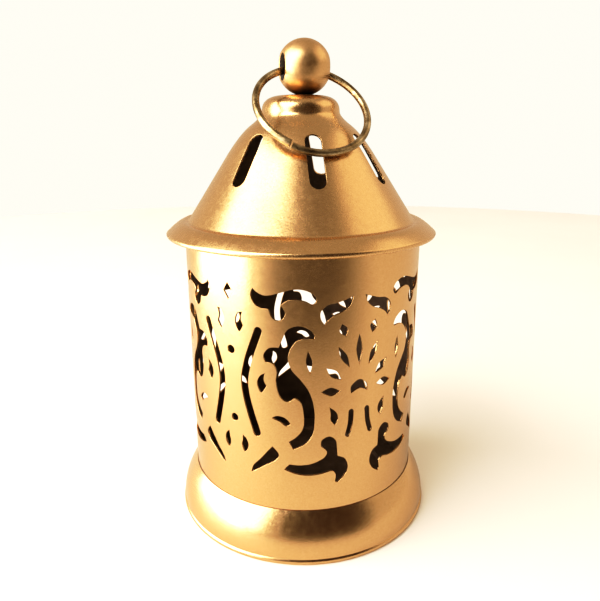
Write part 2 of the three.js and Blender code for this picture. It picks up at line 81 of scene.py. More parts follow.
# The pierced pattern, drawn flat for half a panel: a point is [distance from the sunburst's axis, height
# above the sunburst's middle]
PANELS = 3
PANEL_AZIMUTH = 25.8
SEAM_LAND = 2.86
PATTERN_MIDDLE_HEIGHT = 38.6
PATTERN_LEAN = 1.34
HALF_WIDTH = 26.75
CORNER = True
TOP_SCROLL = [
    [21.0, 20.2, CORNER], [20.4, 19.5], [18.8, 18.8], [17.2, 19.0], [15.2, 19.6], [13.2, 20.15],
    [11.2, 20.1], [9.3, 19.3], [8.6, 18.1], [9.4, 17.1], [10.8, 17.75], [12.5, 18.1], [14.2, 17.9],
    [15.4, 17.0, CORNER],
    [14.65, 15.5], [15.2, 14.2], [16.4, 13.85], [17.5, 14.6], [18.0, 16.1, CORNER],
    [19.4, 16.15], [20.8, 16.9], [21.6, 18.7],
]
TOP_LEAF = [
    [1.2, 18.5, CORNER], [2.5, 18.05], [4.5, 17.4], [6.5, 17.05], [7.9, 15.8], [7.95, 14.2],
    [7.2, 13.0, CORNER], [6.4, 14.0], [5.0, 14.9], [3.3, 15.5], [1.9, 16.7],
]
GREAT_SCROLL = [
    [9.3, 10.3, CORNER], [11.0, 10.35], [12.7, 9.8], [14.0, 8.0], [14.4, 6.0], [13.7, 3.8], [12.1, 1.9],
    [10.6, -0.4], [9.7, -3.2], [9.45, -6.5], [9.9, -9.9], [11.4, -12.2], [14.0, -13.6, CORNER],
    [14.9, -11.8, CORNER], [13.2, -10.5], [12.0, -8.8], [11.7, -6.5], [12.1, -3.4], [13.25, -2.15, CORNER],
    [14.9, -2.95], [16.4, -1.9], [17.1, 1.0], [16.85, 3.4], [17.6, 5.0], [19.1, 5.25, CORNER],
    [19.45, 6.6], [18.2, 8.25], [16.2, 8.5, CORNER], [15.6, 10.0], [14.4, 12.2], [12.2, 13.0], [10.0, 12.2],
    [9.1, 10.95],
]
LOWER_SCROLL = [
    [16.1, -18.2, CORNER], [14.9, -16.9, CORNER], [12.6, -17.05], [10.1, -16.65], [7.8, -15.5],
    [7.2, -14.2], [8.4, -12.9, CORNER], [8.2, -11.5], [6.6, -10.75], [5.2, -11.8], [4.95, -13.6],
    [4.85, -15.45, CORNER],
    [3.3, -16.3], [2.6, -18.3], [3.3, -20.3], [5.0, -21.7], [5.55, -21.3, CORNER], [5.4, -19.7],
    [6.3, -18.85], [8.4, -19.3], [11.2, -19.55], [13.9, -19.1],
]
LOWER_LEAF = [
    [18.3, -13.1, CORNER], [17.3, -14.2], [17.0, -15.2], [18.0, -16.5], [20.3, -18.0],
    [23.4, -20.2, CORNER], [22.8, -18.3], [21.1, -16.4], [19.2, -14.1],
]
KIDNEY = [[19.2, 2.9, CORNER], [20.4, 2.1], [21.05, 0.4], [20.2, -1.5], [18.95, 0.1, CORNER], [19.5, 1.4]]
SEED = [[18.2, -6.8], [17.0, -6.1], [15.4, -6.5], [14.4, -7.8], [15.4, -8.3], [16.7, -7.35]]
UPPER_BUD = [
    [23.5, 15.0, CORNER], [24.7, 14.7], [25.4, 12.8], [24.45, 10.8], [23.45, 12.2, CORNER], [23.9, 13.6],
]
LOWER_BUD = [
    [25.0, -11.7, CORNER], [24.0, -12.6], [23.7, -14.2], [24.65, -15.7], [25.35, -14.2], [25.1, -13.0],
]
SUN_LEAF = [
    [6.5, -4.2, CORNER], [5.0, -5.6], [4.7, -7.2], [5.4, -8.5, CORNER], [6.3, -7.2], [6.3, -5.9],
]
CRESCENT = [
    [1.9, -1.9, CORNER], [1.9, -0.3], [0, 0.95], [-1.9, -0.3], [-1.9, -1.9, CORNER], [0, -1.1],
]
DIAMOND = [
    [HALF_WIDTH - 1.2, 18.8, CORNER], [HALF_WIDTH, 20.6, CORNER],
    [HALF_WIDTH + 1.2, 18.8, CORNER], [HALF_WIDTH, 17.0, CORNER],
]
# Pointed at both ends: two ends and a width
SUN_RAY = ([0, 3.9], [0, 10.8], 1.5)
LENSES = [
    ([4.6, 8.6], [2.1, 3.7], 1.45), ([7.1, 4.2], [3.8, 1.3], 1.7), ([8.2, -0.9], [4.1, -1.0], 1.9),
    ([3.8, 13.1], [2.95, 10.3], 1.9), ([10.55, 8.1], [10.15, 2.9], 1.35),
]
# Round ended: three points of the middle line and a width
BARS = [
    ([[20.3, 11.5], [23.8, 0.5], [21.55, -10.5]], 1.75),
    ([[1.85, -5.9], [2.05, -8.5], [2.65, -10.9]], 1.25),
]
# A height and a radius
DOTS = [(6.7, 0.95), (-8.2, 0.9)]

# Air slots in the roof
SLOT_COUNT = 7
SLOT_AZIMUTH = 10.4
SLOT_WIDTH = 3.5
SLOT_LENGTH = 12.2
SLOT_RISE = 16.0

# Fineness of the meshes
EDGE_ROUNDING = 0.07
CREASE_ROUNDING = 0.45
CURVE_STEP = 0.35
WALL_LINES = 180
ROOF_LINES = 192
TURN_STEPS = 192
BALL_STEPS = 96
BEND_STEPS = 12
SMALL_BEND_STEPS = 8
CREASE_STEPS = 5
FOOT_STEPS = 16
LIP_STEPS = 10

# How near two points of a flat sheet are when they count as one, in millimetres and as decimals
SAME_PLACE = 1e-4
SAME_PLACE_DIGITS = 4
# What the triangulation merges, and the least length that is divided by
MERGE_DISTANCE = 1e-5
TINY = 1e-9


# Flat outlines

def spline(points, step=CURVE_STEP):
    """A Catmull-Rom curve through the points, without its last point. Two points give a straight line."""
    points = [np.array(p, float) for p in points]
    if len(points) < 3:
        return [points[0]]
    found = []
    for i in range(len(points) - 1):
        p0 = points[max(i - 1, 0)]
        p1, p2 = points[i], points[i + 1]
        p3 = points[min(i + 2, len(points) - 1)]
        count = max(2, math.ceil(np.linalg.norm(p2 - p1) / step))
        for k in range(count):
            t = k / count
            v0, v1 = (p2 - p0) / 2, (p3 - p1) / 2
            found.append(
                (2 * p1 - 2 * p2 + v0 + v1) * t**3 + (-3 * p1 + 3 * p2 - 2 * v0 - v1) * t**2 + v0 * t + p1
            )
    return found


def outline(points):
    """A closed outline whose marked points are corners, and whose other points lie on smooth curves."""
    corners = [i for i, p in enumerate(points) if len(p) > 2]
    if not corners:
        loop = [p[:2] for p in points]
        full = spline([loop[-1], *loop, loop[0], loop[1]])
        lead = len(spline([loop[-1], *loop]))
        skip = next(i for i, p in enumerate(full) if np.allclose(p, loop[0]))
        return full[skip:lead + 1]
    first = corners[0]
    turned = points[first:] + points[:first + 1]
    found, stretch = [], []
    for i, p in enumerate(turned):
        stretch.append(p[:2])
        if (len(p) > 2 and i > 0) or i == len(turned) - 1:
            found += spline(stretch)
            stretch = [p[:2]]
    return found


def lens(start, end, width):
    """An outline that is pointed at both ends."""
    start, end = np.array(start, float), np.array(end, float)
    along = (end - start) / np.linalg.norm(end - start)
    across = np.array([-along[1], along[0]]) * width / 2
    middle = (start + end) / 2
    return spline([start, middle - across, end]) + spline([end, middle + across, start])


def half_circle(start, end, steps=10):
    """The inner points of a half circle that turns left from start to end."""
    centre = (start + end) / 2
    spoke = start - centre
    found = []
    for i in range(1, steps):
        c, s = math.cos(math.pi * i / steps), math.sin(math.pi * i / steps)
        found.append(centre + np.array([c * spoke[0] - s * spoke[1], s * spoke[0] + c * spoke[1]]))
    return found


def bar(path, width):
    """An outline of even width along a curved path, with round ends."""
    middle = spline(path) + [np.array(path[-1], float)]
    right, left = [], []
    for i, p in enumerate(middle):
        along = middle[min(i + 1, len(middle) - 1)] - middle[max(i - 1, 0)]
        along /= np.linalg.norm(along)
        across = np.array([along[1], -along[0]]) * width / 2
        right.append(p + across)
        left.insert(0, p - across)
    return right + half_circle(right[-1], left[0]) + left + half_circle(left[-1], right[0])


def circle(x, y, radius, steps=24):
    turns = [2 * math.pi * i / steps for i in range(steps)]
    return [np.array([x + radius * math.cos(t), y + radius * math.sin(t)]) for t in turns]


def wall_holes(start):
    """All cut-outs of the unrolled wall, as outlines of [arc length from the seam, height]."""
    half = [outline(o) for o in (
        TOP_SCROLL, TOP_LEAF, GREAT_SCROLL, LOWER_SCROLL, LOWER_LEAF, KIDNEY, SEED, UPPER_BUD, LOWER_BUD,
        SUN_LEAF,
    )]
    half += [lens(*one) for one in LENSES]
    half += [bar(*one) for one in BARS]
    panel_width = (2 * math.pi * WALL_RADIUS - SEAM_LAND) / PANELS
    stretch = panel_width / 2 / HALF_WIDTH
    lean = math.tan(math.radians(PATTERN_LEAN))
    holes = []

    def place(points, axis, side):
        holes.append([
            (axis + side * x * stretch - y * lean - start, PATTERN_MIDDLE_HEIGHT + y - WALL_BOTTOM)
            for x, y in points
        ])

    for panel in range(PANELS):
        axis = math.radians(PANEL_AZIMUTH) * WALL_RADIUS + (panel - (PANELS - 1) / 2) * panel_width
        for side in (1, -1):
            for points in half:
                place(points, axis, side)
        place(lens(*SUN_RAY), axis, 1)
        place(outline(CRESCENT), axis, 1)
        if panel < PANELS - 1:
            place(outline(DIAMOND), axis, 1)
            for height, radius in DOTS:
                place(circle(HALF_WIDTH, height, radius), axis, 1)
    return holes


# Meshes

def make_object(name, vertices, faces, normals=None, sharp=None, inner=()):
    """A mesh object from points in millimetres, with a normal for each corner of each face, or sharp edges.

    The faces named by inner take the object's second material.
    """
    mesh = bpy.data.meshes.new(name)
    mesh.from_pydata((np.array(vertices) * MM).tolist(), [], faces)
    mesh.polygons.foreach_set("use_smooth", [True] * len(faces))
    for i in inner:
        mesh.polygons[i].material_index = 1
    if normals is not None:
        mesh.normals_split_custom_set([tuple(n) for n in normals])
    if sharp is not None:
        mesh.set_sharp_from_angle(angle=math.radians(sharp))
    mesh.update()
    made = bpy.data.objects.new(name, mesh)
    bpy.context.scene.collection.objects.link(made)
    return made


def curved_sheet(name, size, lines, holes, place, groove=0.0):
    """A sheet with holes, bent as place says, whose left and right edges meet.

    place(u, v) gives points on the outer side, and their unit normals, right and up directions.
    """
    width, height = size
    points, edges, faces = [], [], []

    def add(path, closed):
        first = len(points)
        points.extend(Vector(p) for p in path)
        ids = list(range(first, len(points)))
        if closed:
            faces.append(ids)
        else:
            edges.extend(zip(ids, ids[1:]))

    for u in lines[0]:
        add([(u, 0), (u, height)], False)
    for v in lines[1]:
        add([(0, v), (width, v)], False)
    for hole in holes:
        area = sum(a[0] * b[1] - a[1] * b[0] for a, b in zip(hole, hole[1:] + hole[:1]))
        add(hole if area > 0 else hole[::-1], True)
    flat, _, triangles, _, _, inside = delaunay_2d_cdt(points, edges, faces, 0, MERGE_DISTANCE)
    triangles = [t for t, holders in zip(triangles, inside) if not holders]

    # The right edge's points become the left edge's, and points inside the holes go
    left = {round(p.y, SAME_PLACE_DIGITS): i for i, p in enumerate(flat) if p.x < SAME_PLACE}
    right_edge = [i for i, p in enumerate(flat) if p.x > width - SAME_PLACE]
    same = {i: left[round(flat[i].y, SAME_PLACE_DIGITS)] for i in right_edge}
    triangles = [[same.get(i, i) for i in t] for t in triangles]
    used = sorted({i for t in triangles for i in t})
    index = {old: new for new, old in enumerate(used)}
    triangles = [[index[i] for i in t] for t in triangles]
    flat = np.array([flat[i][:] for i in used])

    # Towards the open side at each point of each free edge
    directed = {(t[k], t[(k + 1) % 3]) for t in triangles for k in range(3)}
    free = [(a, b) for a, b in directed if (b, a) not in directed]
    open_side = {}
    for a, b in free:
        run = flat[b] - flat[a]
        run[0] -= width * round(run[0] / width)
        run /= max(np.linalg.norm(run), TINY)
        for i in (a, b):
            open_side[i] = open_side.get(i, 0) + np.array([run[1], -run[0]])
    rim = sorted(open_side)
    rim_index = {i: k for k, i in enumerate(rim)}

    outer, normal, right, up = place(flat[:, 0], flat[:, 1])
    count = len(flat)
    sideways = np.array([
        right[i] * open_side[i][0] + up[i] * open_side[i][1] for i in rim
    ])
    sideways /= np.linalg.norm(sideways, axis=1)[:, None]
    front = outer.copy()
    if groove:
        on_seam = flat[:, 0] < SAME_PLACE
        front[on_seam] -= normal[on_seam] * groove
    back = outer - normal * SHEET
    shallow = outer[rim] - normal[rim] * EDGE_ROUNDING + sideways * EDGE_ROUNDING
    deep = outer[rim] - normal[rim] * (SHEET - EDGE_ROUNDING) + sideways * EDGE_ROUNDING
    vertices = np.vstack([front, back, shallow, deep])
    shading = np.vstack([normal, -normal, sideways, sideways])
    sides = []
    for a, b in free:
        ka, kb = rim_index[a] + 2 * count, rim_index[b] + 2 * count
        sides.append([a, ka, kb, b])
        sides.append([ka, ka + len(rim), kb + len(rim), kb])
        sides.append([ka + len(rim), a + count, b + count, kb + len(rim)])
    faces = triangles + [[i + count for i in t[::-1]] for t in triangles] + sides
    inner = range(len(triangles), 2 * len(triangles))
    return make_object(name, vertices, faces, normals=shading[[i for f in faces for i in f]], inner=inner)


def turned(name, profile, steps=TURN_STEPS, sharp=35):
    """A closed profile of [radius, height] points, counter-clockwise, turned about the vertical axis."""
    turns = [2 * math.pi * i / steps for i in range(steps)]
    vertices = [(r * math.sin(t), -r * math.cos(t), z) for t in turns for r, z in profile]
    n = len(profile)
    faces = []
    for i in range(steps):
        near, far = i * n, (i + 1) % steps * n
        faces += [[near + k, far + k, far + (k + 1) % n, near + (k + 1) % n] for k in range(n)]
    return make_object(name, vertices, faces, sharp=sharp)


def quadratic(start, control, end, steps):
    """Points of a quadratic curve, without its last point."""
    start, control, end = (np.array(p, float) for p in (start, control, end))
    shares = [i / steps for i in range(steps)]
    return [(1 - t) ** 2 * start + 2 * t * (1 - t) * control + t * t * end for t in shares]


def inside_of(points, thickness=SHEET):
    """The points moved by the sheet's thickness to the right of the way they run."""
    points = np.array(points)
    along = np.gradient(points, axis=0)
    along /= np.linalg.norm(along, axis=1)[:, None]
    return points + np.stack([along[:, 1], -along[:, 0]], axis=1) * thickness


# The pieces

def build_wall():
    start = math.radians(PANEL_AZIMUTH - 180) * WALL_RADIUS
    width = 2 * math.pi * WALL_RADIUS
    height = WALL_TOP - WALL_BOTTOM
    # The depth of the groove at the seam, and half its width
    groove = 0.2

    def place(u, v):
        angle = (u + start) / WALL_RADIUS
        zero = np.zeros_like(angle)
        normal = np.stack([np.sin(angle), -np.cos(angle), zero], axis=1)
        right = np.stack([np.cos(angle), np.sin(angle), zero], axis=1)
        up = np.stack([zero, zero, zero + 1], axis=1)
        points = normal * WALL_RADIUS + up * (v + WALL_BOTTOM)[:, None]
        return points, normal, right, up

    across = [width * i / WALL_LINES for i in range(WALL_LINES + 1)] + [groove, width - groove]
    lines = (across, [0, height])
    return curved_sheet("wall_sheet", (width, height), lines, wall_holes(start), place, groove)


def roof_profile():
    """The roof's outer side, from the rim's rolled edge up to the dome's top, and where the cone begins."""
    rim_start = (RIM_RADIUS - RIM_CURL, RIM_HEIGHT)
    rim_edge = np.array([RIM_RADIUS, RIM_HEIGHT + RIM_CURL])
    up_cone = (SHOULDER - CREASE) / np.linalg.norm(SHOULDER - CREASE)
    out_brim = BRIM_CROWN / np.linalg.norm(BRIM_CROWN)
    brim_start = CREASE + out_brim * CREASE_ROUNDING
    cone_start = CREASE + up_cone * CREASE_ROUNDING
    slope_middle = (SHOULDER + NECK) / 2
    dome_side = NECK + [0, NECK_BEND]
    dome_corner = (NECK[0], DOME_TOP_HEIGHT)
    dome_flat = (DOME_FLAT_RADIUS, DOME_TOP_HEIGHT)
    brim = [
        *quadratic(rim_start, (RIM_RADIUS, RIM_HEIGHT), rim_edge, SMALL_BEND_STEPS),
        *quadratic(rim_edge, CREASE + BRIM_CROWN, brim_start, BEND_STEPS),
        *quadratic(brim_start, CREASE, cone_start, CREASE_STEPS),
    ]
    return np.array([
        *brim,
        cone_start,
        *quadratic(SHOULDER - up_cone * SHOULDER_BEND, SHOULDER, slope_middle, BEND_STEPS),
        *quadratic(slope_middle, NECK, dome_side, SMALL_BEND_STEPS),
        *quadratic(dome_side, dome_corner, dome_flat, BEND_STEPS),
        dome_flat,
        (SCREW_HOLE_RADIUS, DOME_TOP_HEIGHT),
    ]), len(brim)


def build_roof():
    profile, cone_start = roof_profile()
    steps = np.linalg.norm(np.diff(profile, axis=0), axis=1)
    run = np.concatenate([[0], np.cumsum(steps)])
    along = np.gradient(profile, run, axis=0)
    # The radius at which the roof is unrolled
    reference = 20.0
    width = 2 * math.pi * reference

    def place(u, v):
        angle = u / reference
        r, z = np.interp(v, run, profile[:, 0]), np.interp(v, run, profile[:, 1])
        ar, az = np.interp(v, run, along[:, 0]), np.interp(v, run, along[:, 1])
        size = np.hypot(ar, az)
        ar, az = ar / size, az / size
        s, c = np.sin(angle), -np.cos(angle)
        points = np.stack([r * s + ROOF_SHIFT, r * c, z], axis=1)
        normal = np.stack([az * s, az * c, -ar], axis=1)
        right = np.stack([-c, s, 0 * s], axis=1)
        up = np.stack([ar * s, ar * c, az], axis=1)
        return points, normal, right, up

    middle = run[cone_start] - CREASE_ROUNDING + SLOT_RISE
    half = (SLOT_LENGTH - SLOT_WIDTH) / 2
    flat_slot = bar([[0, -half], [0, 0], [0, half]], SLOT_WIDTH)
    holes = []
    for i in range(SLOT_COUNT):
        azimuth = math.radians(SLOT_AZIMUTH) + 2 * math.pi * i / SLOT_COUNT
        azimuth %= 2 * math.pi
        holes.append([
            ((azimuth + x / np.interp(middle + y, run, profile[:, 0])) * reference, middle + y)
            for x, y in flat_slot
        ])
    across = [width * i / ROOF_LINES for i in range(ROOF_LINES + 1)]
    return curved_sheet("roof_sheet", (width, run[-1]), (across, list(run)), holes, place)


def build_foot():
    """A pressed side that starts just clear of the wall, and the rolled lip that it stands on."""
    seam_gap, edge = 0.03, 0.12
    bulge_height = 5.5
    lip_bulge, lip_height, lip_width = 0.3, 1.3, 1.4
    lip_radius = FOOT_RADIUS - lip_bulge
    top = (WALL_RADIUS + edge, FOOT_HEIGHT)
    lip_top = (lip_radius, lip_height)
    outside = [
        *quadratic(top, (FOOT_RADIUS, bulge_height), lip_top, FOOT_STEPS),
        *quadratic(lip_top, (FOOT_RADIUS + lip_bulge, lip_height / 2), (lip_radius, 0), LIP_STEPS),
        np.array([lip_radius, 0.0]),
        np.array([FOOT_RADIUS - lip_width, 0.0]),
    ]
    inner = inside_of(outside)
    inner[:, 0] = np.maximum(inner[:, 0], WALL_RADIUS + seam_gap)
    return turned("foot_ring", [*inner.tolist(), *[list(p) for p in outside[::-1]]])


def build_ball():
    """The ball is turned about its bore, which then is laid along the bore's azimuth."""
    half = math.sqrt(BALL_RADIUS**2 - BORE_RADIUS**2)
    mouth = math.asin(BORE_RADIUS / BALL_RADIUS)
    # The mouth's rounding as an angle, and the share of the half that the bore's straight wall takes
    rounding, straight = 0.06, 0.94
    arc_steps, bore_steps = 40, 8
    first, turn = mouth + rounding, math.pi - 2 * mouth - 2 * rounding
    arc = [first + turn * i / arc_steps for i in range(arc_steps + 1)]
    bore = [(BORE_RADIUS, half * straight * (2 * i / bore_steps - 1)) for i in range(bore_steps + 1)]
    profile = [(BALL_RADIUS * math.sin(a), -BALL_RADIUS * math.cos(a)) for a in arc] + bore[::-1]
    ball = turned("ball_bead", profile, steps=BALL_STEPS, sharp=80)
    slack = 0.05
    # The bore's faces take the second material, which paints shade into the bore
    for face in ball.data.polygons:
        in_bore = math.hypot(face.center.x, face.center.y) < (BORE_RADIUS + slack) * MM
        face.material_index = int(in_bore)
    lay = Matrix.Rotation(math.radians(BORE_AZIMUTH), 4, "Z") @ Matrix.Rotation(math.pi / 2, 4, "Y")
    ball.data.transform(Matrix.Translation(Vector((BALL_X, 0, BALL_HEIGHT)) * MM) @ lay)
    return ball


def build_ring():
    """The wire runs round from one side of its split to the other, stepping sideways a little."""
    sides, steps = 20, 260
    opening = SPLIT_GAP / RING_RADIUS
    vertices = []
    for i in range(steps + 1):
        share = i / steps
        angle = math.radians(SPLIT_ANGLE) + opening / 2 + share * (2 * math.pi - opening)
        out = np.array([math.sin(angle), math.cos(angle), 0])
        centre = RING_RADIUS * out - np.array([0, RING_RADIUS, 0])
        centre[2] = SPLIT_STEP * (0.5 - share)
        for k in range(sides):
            t = 2 * math.pi * k / sides
            vertices.append(centre + WIRE_RADIUS * (math.cos(t) * out + math.sin(t) * np.array([0, 0, 1])))
    faces = [list(range(sides))[::-1], [steps * sides + k for k in range(sides)]]
    for i in range(steps):
        for k in range(sides):
            far = (k + 1) % sides
            faces.append([i * sides + k, (i + 1) * sides + k, (i + 1) * sides + far, i * sides + far][::-1])
    ring = make_object("wire_ring", vertices, faces, sharp=50)
    pose = (
        Matrix.Rotation(math.radians(BORE_AZIMUTH), 4, "Z")
        @ Matrix.Rotation(math.radians(RING_TILT), 4, "Y")
        @ Matrix.Rotation(math.radians(RING_SWING), 4, "X")
    )
    ring.data.transform(Matrix.Translation(Vector((BALL_X, 0, RING_HEIGHT)) * MM) @ pose)
    return ring


# Materials

# How far the painted shade round the ball's seat reaches, in millimetres
PAINTED_SHADE_REACH = 6.2


class Nodes:
    """Adds procedural nodes to a tree. Those that read a place read the same kind of coordinates."""

    def __init__(self, tree, coordinates):
        self.tree = tree
        self.place = tree.nodes.new("ShaderNodeTexCoord").outputs[coordinates]

    def add(self, kind, inputs, links):
        node = self.tree.nodes.new(kind)
        for name, value in inputs.items():
            node.inputs[name].default_value = value
        for name, output in links.items():
            self.tree.links.new(output, node.inputs[name])
        return node

    def noise(self, scale, detail, roughness=0.5):
        """Smooth noise; scale is its number of waves in a metre."""
        inputs = {"Scale": scale, "Detail": detail, "Roughness": roughness}
        return self.add("ShaderNodeTexNoise", inputs, {"Vector": self.place}).outputs["Fac"]

    def near(self, centre, reach):
        """1 at the centre, falling to 0 at its reach along X, Y and Z."""
        mapping = self.add("ShaderNodeMapping", {}, {"Vector": self.place})
        mapping.vector_type = "TEXTURE"
        mapping.inputs["Location"].default_value = centre
        mapping.inputs["Scale"].default_value = reach
        gradient = self.add("ShaderNodeTexGradient", {}, {"Vector": mapping.outputs["Vector"]})
        gradient.gradient_type = "SPHERICAL"
        return gradient.outputs["Fac"]

    def ramp(self, value, stops):
        """A colour that runs through the stops, each a value and a colour."""
        node = self.add("ShaderNodeValToRGB", {}, {"Fac": value})
        elements = node.color_ramp.elements
        while len(elements) < len(stops):
            elements.new(0.5)
        for element, (position, colour) in zip(elements, stops):
            element.position = position
            element.color = (*colour, 1)
        return node.outputs["Color"]

    def spread(self, value, low, high):
        """Stretches noise, which mostly lies between 0.3 and 0.7, over the range from low to high."""
        inputs = {"From Min": 0.3, "From Max": 0.7, "To Min": low, "To Max": high}
        return self.add("ShaderNodeMapRange", inputs, {"Value": value}).outputs["Result"]

    def multiply(self, first, second):
        node = self.tree.nodes.new("ShaderNodeMix")
        node.data_type = "RGBA"
        node.blend_type = "MULTIPLY"
        # The sockets of a mix of colours: its factor, its two colours and its result
        factor, one, other, result = node.inputs[0], node.inputs[6], node.inputs[7], node.outputs[2]
        factor.default_value = 1.0
        self.tree.links.new(first, one)
        self.tree.links.new(second, other)
        return result

    def bump(self, value, strength, depth, below=None):
        """A surface that rises with the value; depth is in metres, and below is a bump that it lies on."""
        inputs = {"Strength": strength, "Distance": depth}
        links = {"Height": value}
        if below:
            links["Normal"] = below
        return self.add("ShaderNodeBump", inputs, links).outputs["Normal"]


def node_material(name, metallic, paint):
    """paint(nodes) gives the shader's colour, roughness and normal."""
    material = bpy.data.materials.new(name)
    material.use_nodes = True
    tree = material.node_tree
    shader = tree.nodes["Principled BSDF"]
    shader.inputs["Metallic"].default_value = metallic
    colour, roughness, normal = paint(Nodes(tree, "Object"))
    tree.links.new(colour, shader.inputs["Base Color"])
    tree.links.new(roughness, shader.inputs["Roughness"])
    tree.links.new(normal, shader.inputs["Normal"])
    return material


def gold_coat(smoothest, roughest, grain, painted_shade=False):
    """Sprayed gold: a fine pebbled skin over slow waves of the sheet, with small changes of tone, and if
    asked, painted shade in the crevice where the ball stands.
    """
    def paint(nodes):
        colour = nodes.ramp(nodes.noise(scale=2600, detail=4, roughness=0.6), [
            (0.3, (0.73, 0.45, 0.20)), (0.5, (0.78, 0.485, 0.225)), (0.7, (0.83, 0.525, 0.255)),
        ])
        # Painted shade in the crevice where the ball stands on the dome
        if painted_shade:
            colour = nodes.multiply(colour, crevice_painted_shade(nodes))
        waves = nodes.bump(nodes.noise(scale=90, detail=2), strength=0.25, depth=0.0004)
        pebbles = nodes.noise(scale=2400, detail=3, roughness=0.6)
        skin = nodes.bump(pebbles, strength=grain, depth=0.00005, below=waves)
        return colour, nodes.spread(nodes.noise(scale=900, detail=3), smoothest, roughest), skin

    return paint


def crevice_painted_shade(nodes):
    """Painted shade: darkens the coat towards the crevice where the ball stands on the dome."""
    reach = PAINTED_SHADE_REACH * MM
    painted_shade = nodes.near((BALL_X * MM, 0, DOME_TOP_HEIGHT * MM), (reach, reach, reach))
    return nodes.ramp(painted_shade, [(0.0, (1, 1, 1)), (0.35, (0.60, 0.58, 0.56)), (0.68, (0.20, 0.16, 0.12))])


def brown_painted_shade(nodes):
    """Painted shade: dark brown for the parts inside and the sheets' inner sides, where the inside lies in
    shade.
    """
    tones = [(0.3, (0.075, 0.04, 0.018)), (0.7, (0.14, 0.08, 0.04))]
    colour = nodes.ramp(nodes.noise(scale=300, detail=4), tones)
    roughness = nodes.spread(nodes.noise(scale=800, detail=3), low=0.5, high=0.7)
    return colour, roughness, nodes.bump(nodes.noise(scale=2200, detail=3), strength=0.4, depth=0.00006)


def bore_painted_shade(nodes):
    """Painted shade: the dull, nearly black inside of the ball's bore."""
    tones = [(0.3, (0.018, 0.011, 0.006)), (0.7, (0.04, 0.025, 0.014))]
    colour = nodes.ramp(nodes.noise(scale=900, detail=3), tones)
    roughness = nodes.spread(nodes.noise(scale=1200, detail=3), low=0.6, high=0.8)
    return colour, roughness, nodes.bump(nodes.noise(scale=2200, detail=3), strength=0.3, depth=0.00005)


def antique_brass(nodes):
    """Drawn wire, darkened in places."""
    tones = [(0.3, (0.14, 0.085, 0.035)), (0.48, (0.37, 0.26, 0.13)), (0.65, (0.64, 0.50, 0.30))]
    colour = nodes.ramp(nodes.noise(scale=420, detail=5, roughness=0.6), tones)
    roughness = nodes.spread(nodes.noise(scale=1500, detail=4), low=0.24, high=0.40)
    scratches = nodes.noise(scale=900, detail=4, roughness=0.6)
    return colour, roughness, nodes.bump(scratches, strength=0.15, depth=0.00005)


def plated_steel(nodes):
    """The grey of the screw and its washer, slightly uneven."""
    tones = [(0.3, (0.50, 0.50, 0.49)), (0.7, (0.64, 0.63, 0.61))]
    colour = nodes.ramp(nodes.noise(scale=500, detail=3), tones)
    roughness = nodes.spread(nodes.noise(scale=1200, detail=3), low=0.3, high=0.45)
    return colour, roughness, nodes.bump(nodes.noise(scale=2500, detail=2), strength=0.2, depth=0.00004)


GOLD = node_material("gold_coat", 1.0, gold_coat(0.20, 0.27, grain=0.26))
ROUGH_GOLD = node_material("rough_gold_coat", 1.0, gold_coat(0.23, 0.30, grain=0.32, painted_shade=True))
BALL_GOLD = node_material("ball_gold_coat", 1.0, gold_coat(0.33, 0.41, grain=0.26, painted_shade=True))
BROWN = node_material("brown_painted_shade", 0.4, brown_painted_shade)
BORE = node_material("bore_painted_shade", 0.0, bore_painted_shade)
BRASS = node_material("antique_brass", 1.0, antique_brass)
STEEL = node_material("plated_steel", 1.0, plated_steel)


def dress(piece, body, node, slot, *materials):
    """The piece takes the place of a CAD node."""
    for material in materials:
        piece.data.materials.append(material)
    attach(piece, body)
    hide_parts(node)


# The wall's and roof's inner sides take the brown painted shade of the inside
dress(build_wall(), "lantern", "pierced_wall", "gold_paint", GOLD, BROWN)
dress(build_foot(), "lantern", "base_skirt", "gold_paint", GOLD)
dress(build_roof(), "lid", "roof", "gold_paint", ROUGH_GOLD, BROWN)
dress(build_ball(), "lid", "finial_ball", "gold_paint", BALL_GOLD, BORE)
dress(build_ring(), "ring", "hanging_ring", "brass", BRASS)
for node, material in (
    ("candle_floor", BROWN), ("roof_collar", BROWN), ("finial_washer", STEEL), ("finial_screw", STEEL),
):
    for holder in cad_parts[node].material_slots:
        holder.material = material


# The studio: a round white table in a warm room that is dark behind the camera, and soft lights

TABLE_RADIUS = 0.55
TABLE_SIDES = 96
TABLE_COLOUR = (0.86, 0.84, 0.80)
TABLE_VARIATION = 1.03
CARD_HALF = 0.5
CARD_HEIGHT = 0.0002
CARD_COLOUR = (0.56, 0.545, 0.515)
# The painted shadow on the card in front of the lantern: its colour, middle and reach
CARD_PAINTED_SHADOW_COLOUR = (0.04, 0.03, 0.02)
CARD_PAINTED_SHADOW_PLACE = (0.03, -0.29, 0)
CARD_PAINTED_SHADOW_REACH = (0.36, 0.24, 0.24)
ROOM_LOW_COLOUR = (0.68, 0.59, 0.46)
ROOM_HIGH_COLOUR = (0.43, 0.36, 0.275)
ROOM_DARK_COLOUR = (0.10, 0.07, 0.045)
ROOM_DARK_DIRECTION = (0.32, -0.87, 0.37)
ROOM_DARK_REACH = (0.82, 0.82, 0.82)
SEEN_WALL_COLOUR = (1.0, 0.98, 0.87)
WINDOW_COLOUR = (1.0, 0.97, 0.92)
RIGHT_WALL_COLOUR = (1.0, 0.84, 0.62)
FILL_COLOUR = (1.0, 0.78, 0.50)
LANTERN_MIDDLE = (0, 0, 0.05)
# Pairs of a tone before and after
TONE_CURVE = ((0.05, 0.033), (0.25, 0.235), (0.60, 0.67))


